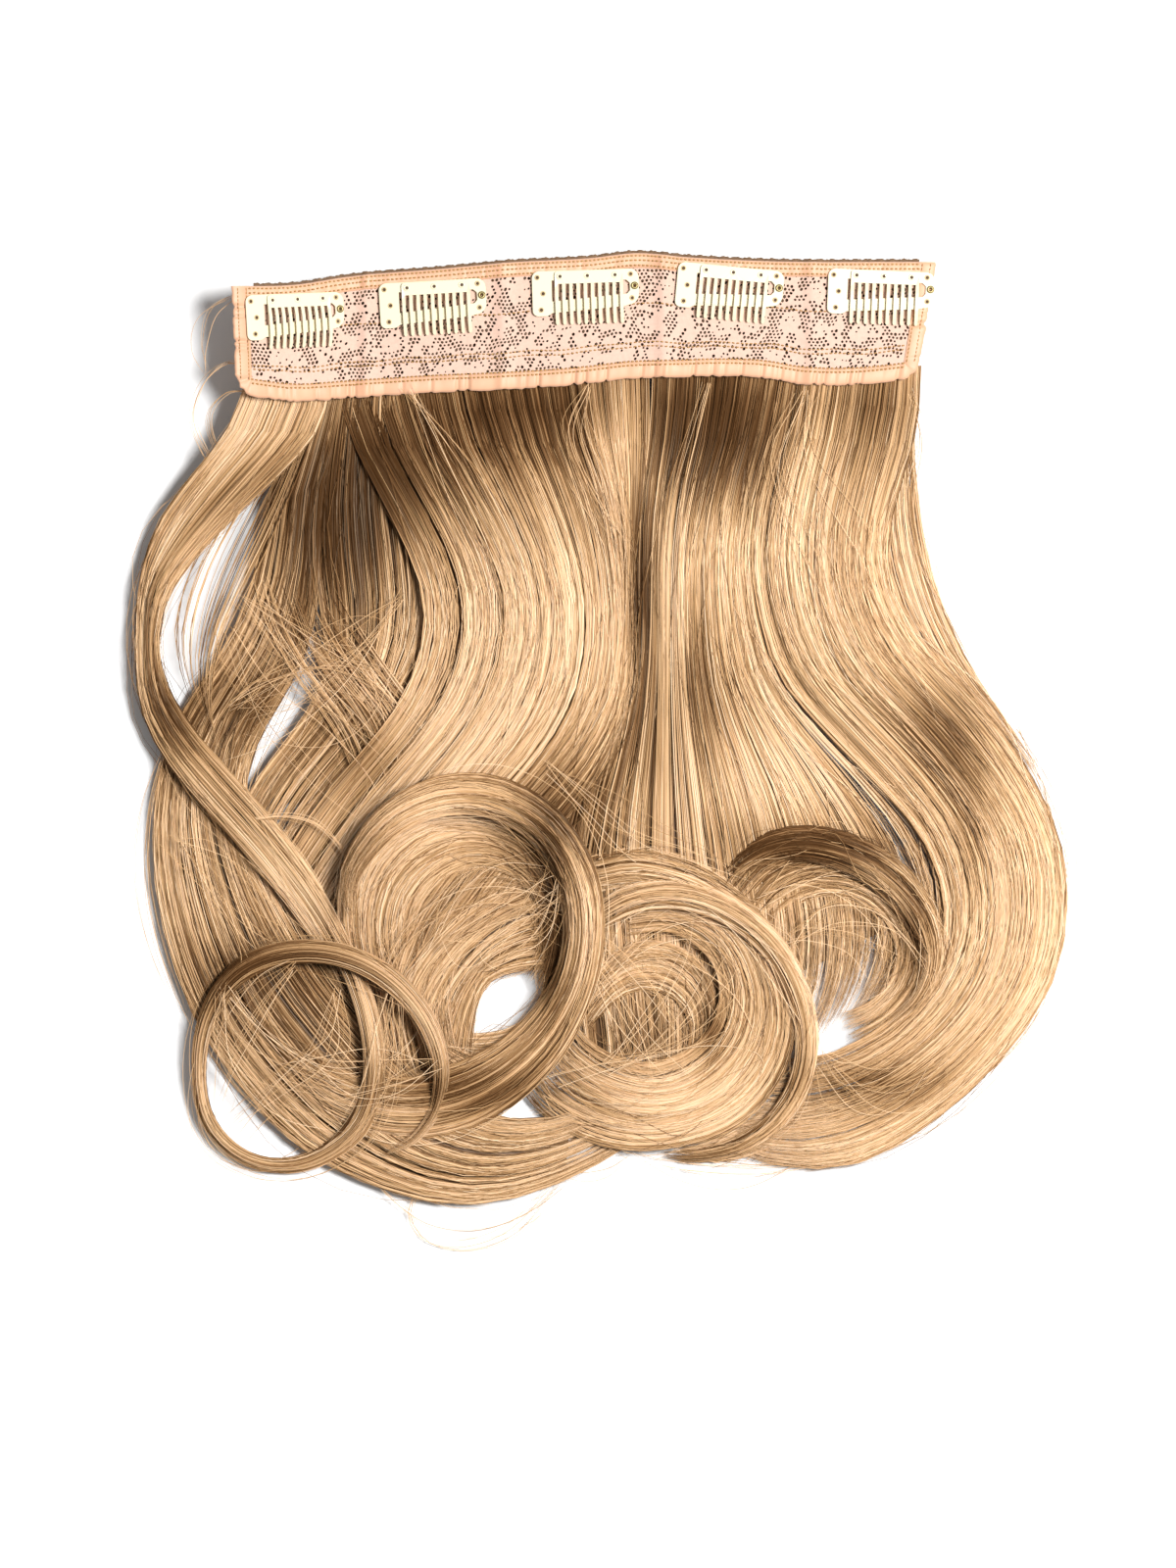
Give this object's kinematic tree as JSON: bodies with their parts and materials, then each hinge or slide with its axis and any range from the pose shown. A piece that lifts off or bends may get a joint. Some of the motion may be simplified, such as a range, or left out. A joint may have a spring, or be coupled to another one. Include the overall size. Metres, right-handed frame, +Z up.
{
  "type": "clip-in hair extension",
  "caption": "Fall of long golden brown hair with curled ends, sewn under a lace strip with snap-comb clips along it, lying flat.",
  "frame": {"origin": "centre of the overall box in plan, on the table it lies on", "axes": "+X along the clip strip, +Y from the curls towards the strip, +Z up from the table, the side the clips face"},
  "size_m": [0.3286, 0.3346, 0.0323],
  "materials": {
    "golden_brown_hair": "glossy fibre",
    "flesh_pink_lace": "matt net",
    "peach_satin": "satin",
    "brown_weft": "matt",
    "ivory_enamel": "glossy enamel",
    "dull_brass": "dull"
  },
  "bodies": {
    "hairpiece": {"hair": "golden_brown_hair", "lace_panel": "flesh_pink_lace", "top_band": "peach_satin", "edge_binding": "peach_satin", "weft_track": "brown_weft", "clip_frame_1": "ivory_enamel", "clip_frame_2": "ivory_enamel", "clip_frame_3": "ivory_enamel", "clip_frame_4": "ivory_enamel", "clip_frame_5": "ivory_enamel", "clip_rivet_1": "dull_brass", "clip_rivet_2": "dull_brass", "clip_rivet_3": "dull_brass", "clip_rivet_4": "dull_brass", "clip_rivet_5": "dull_brass"},
    "comb_1": {"clip_comb_1": "ivory_enamel"},
    "comb_2": {"clip_comb_2": "ivory_enamel"},
    "comb_3": {"clip_comb_3": "ivory_enamel"},
    "comb_4": {"clip_comb_4": "ivory_enamel"},
    "comb_5": {"clip_comb_5": "ivory_enamel"}
  },
  "joints": [
    {"name": "comb_1_snap", "type": "hinge", "parent": "hairpiece", "child": "comb_1", "pos_m": [-0.10597, 0.15115, 0.02288], "axis": [-0.8927, -0.0624, 0.4463], "range_deg": [0, 40]},
    {"name": "comb_2_snap", "type": "hinge", "parent": "hairpiece", "child": "comb_2", "pos_m": [-0.05829, 0.15627, 0.01279], "axis": [-0.9983, -0.0576, 0], "range_deg": [0, 40]},
    {"name": "comb_3_snap", "type": "hinge", "parent": "hairpiece", "child": "comb_3", "pos_m": [-0.00467, 0.16003, 0.01279], "axis": [-0.9995, -0.0314, 0], "range_deg": [0, 40]},
    {"name": "comb_4_snap", "type": "hinge", "parent": "hairpiece", "child": "comb_4", "pos_m": [0.0467, 0.16109, 0.01279], "axis": [-0.9956, 0.0941, 0], "range_deg": [0, 40]},
    {"name": "comb_5_snap", "type": "hinge", "parent": "hairpiece", "child": "comb_5", "pos_m": [0.09929, 0.15976, 0.01279], "axis": [-0.9991, 0.0419, 0], "range_deg": [0, 40]}
  ]
}
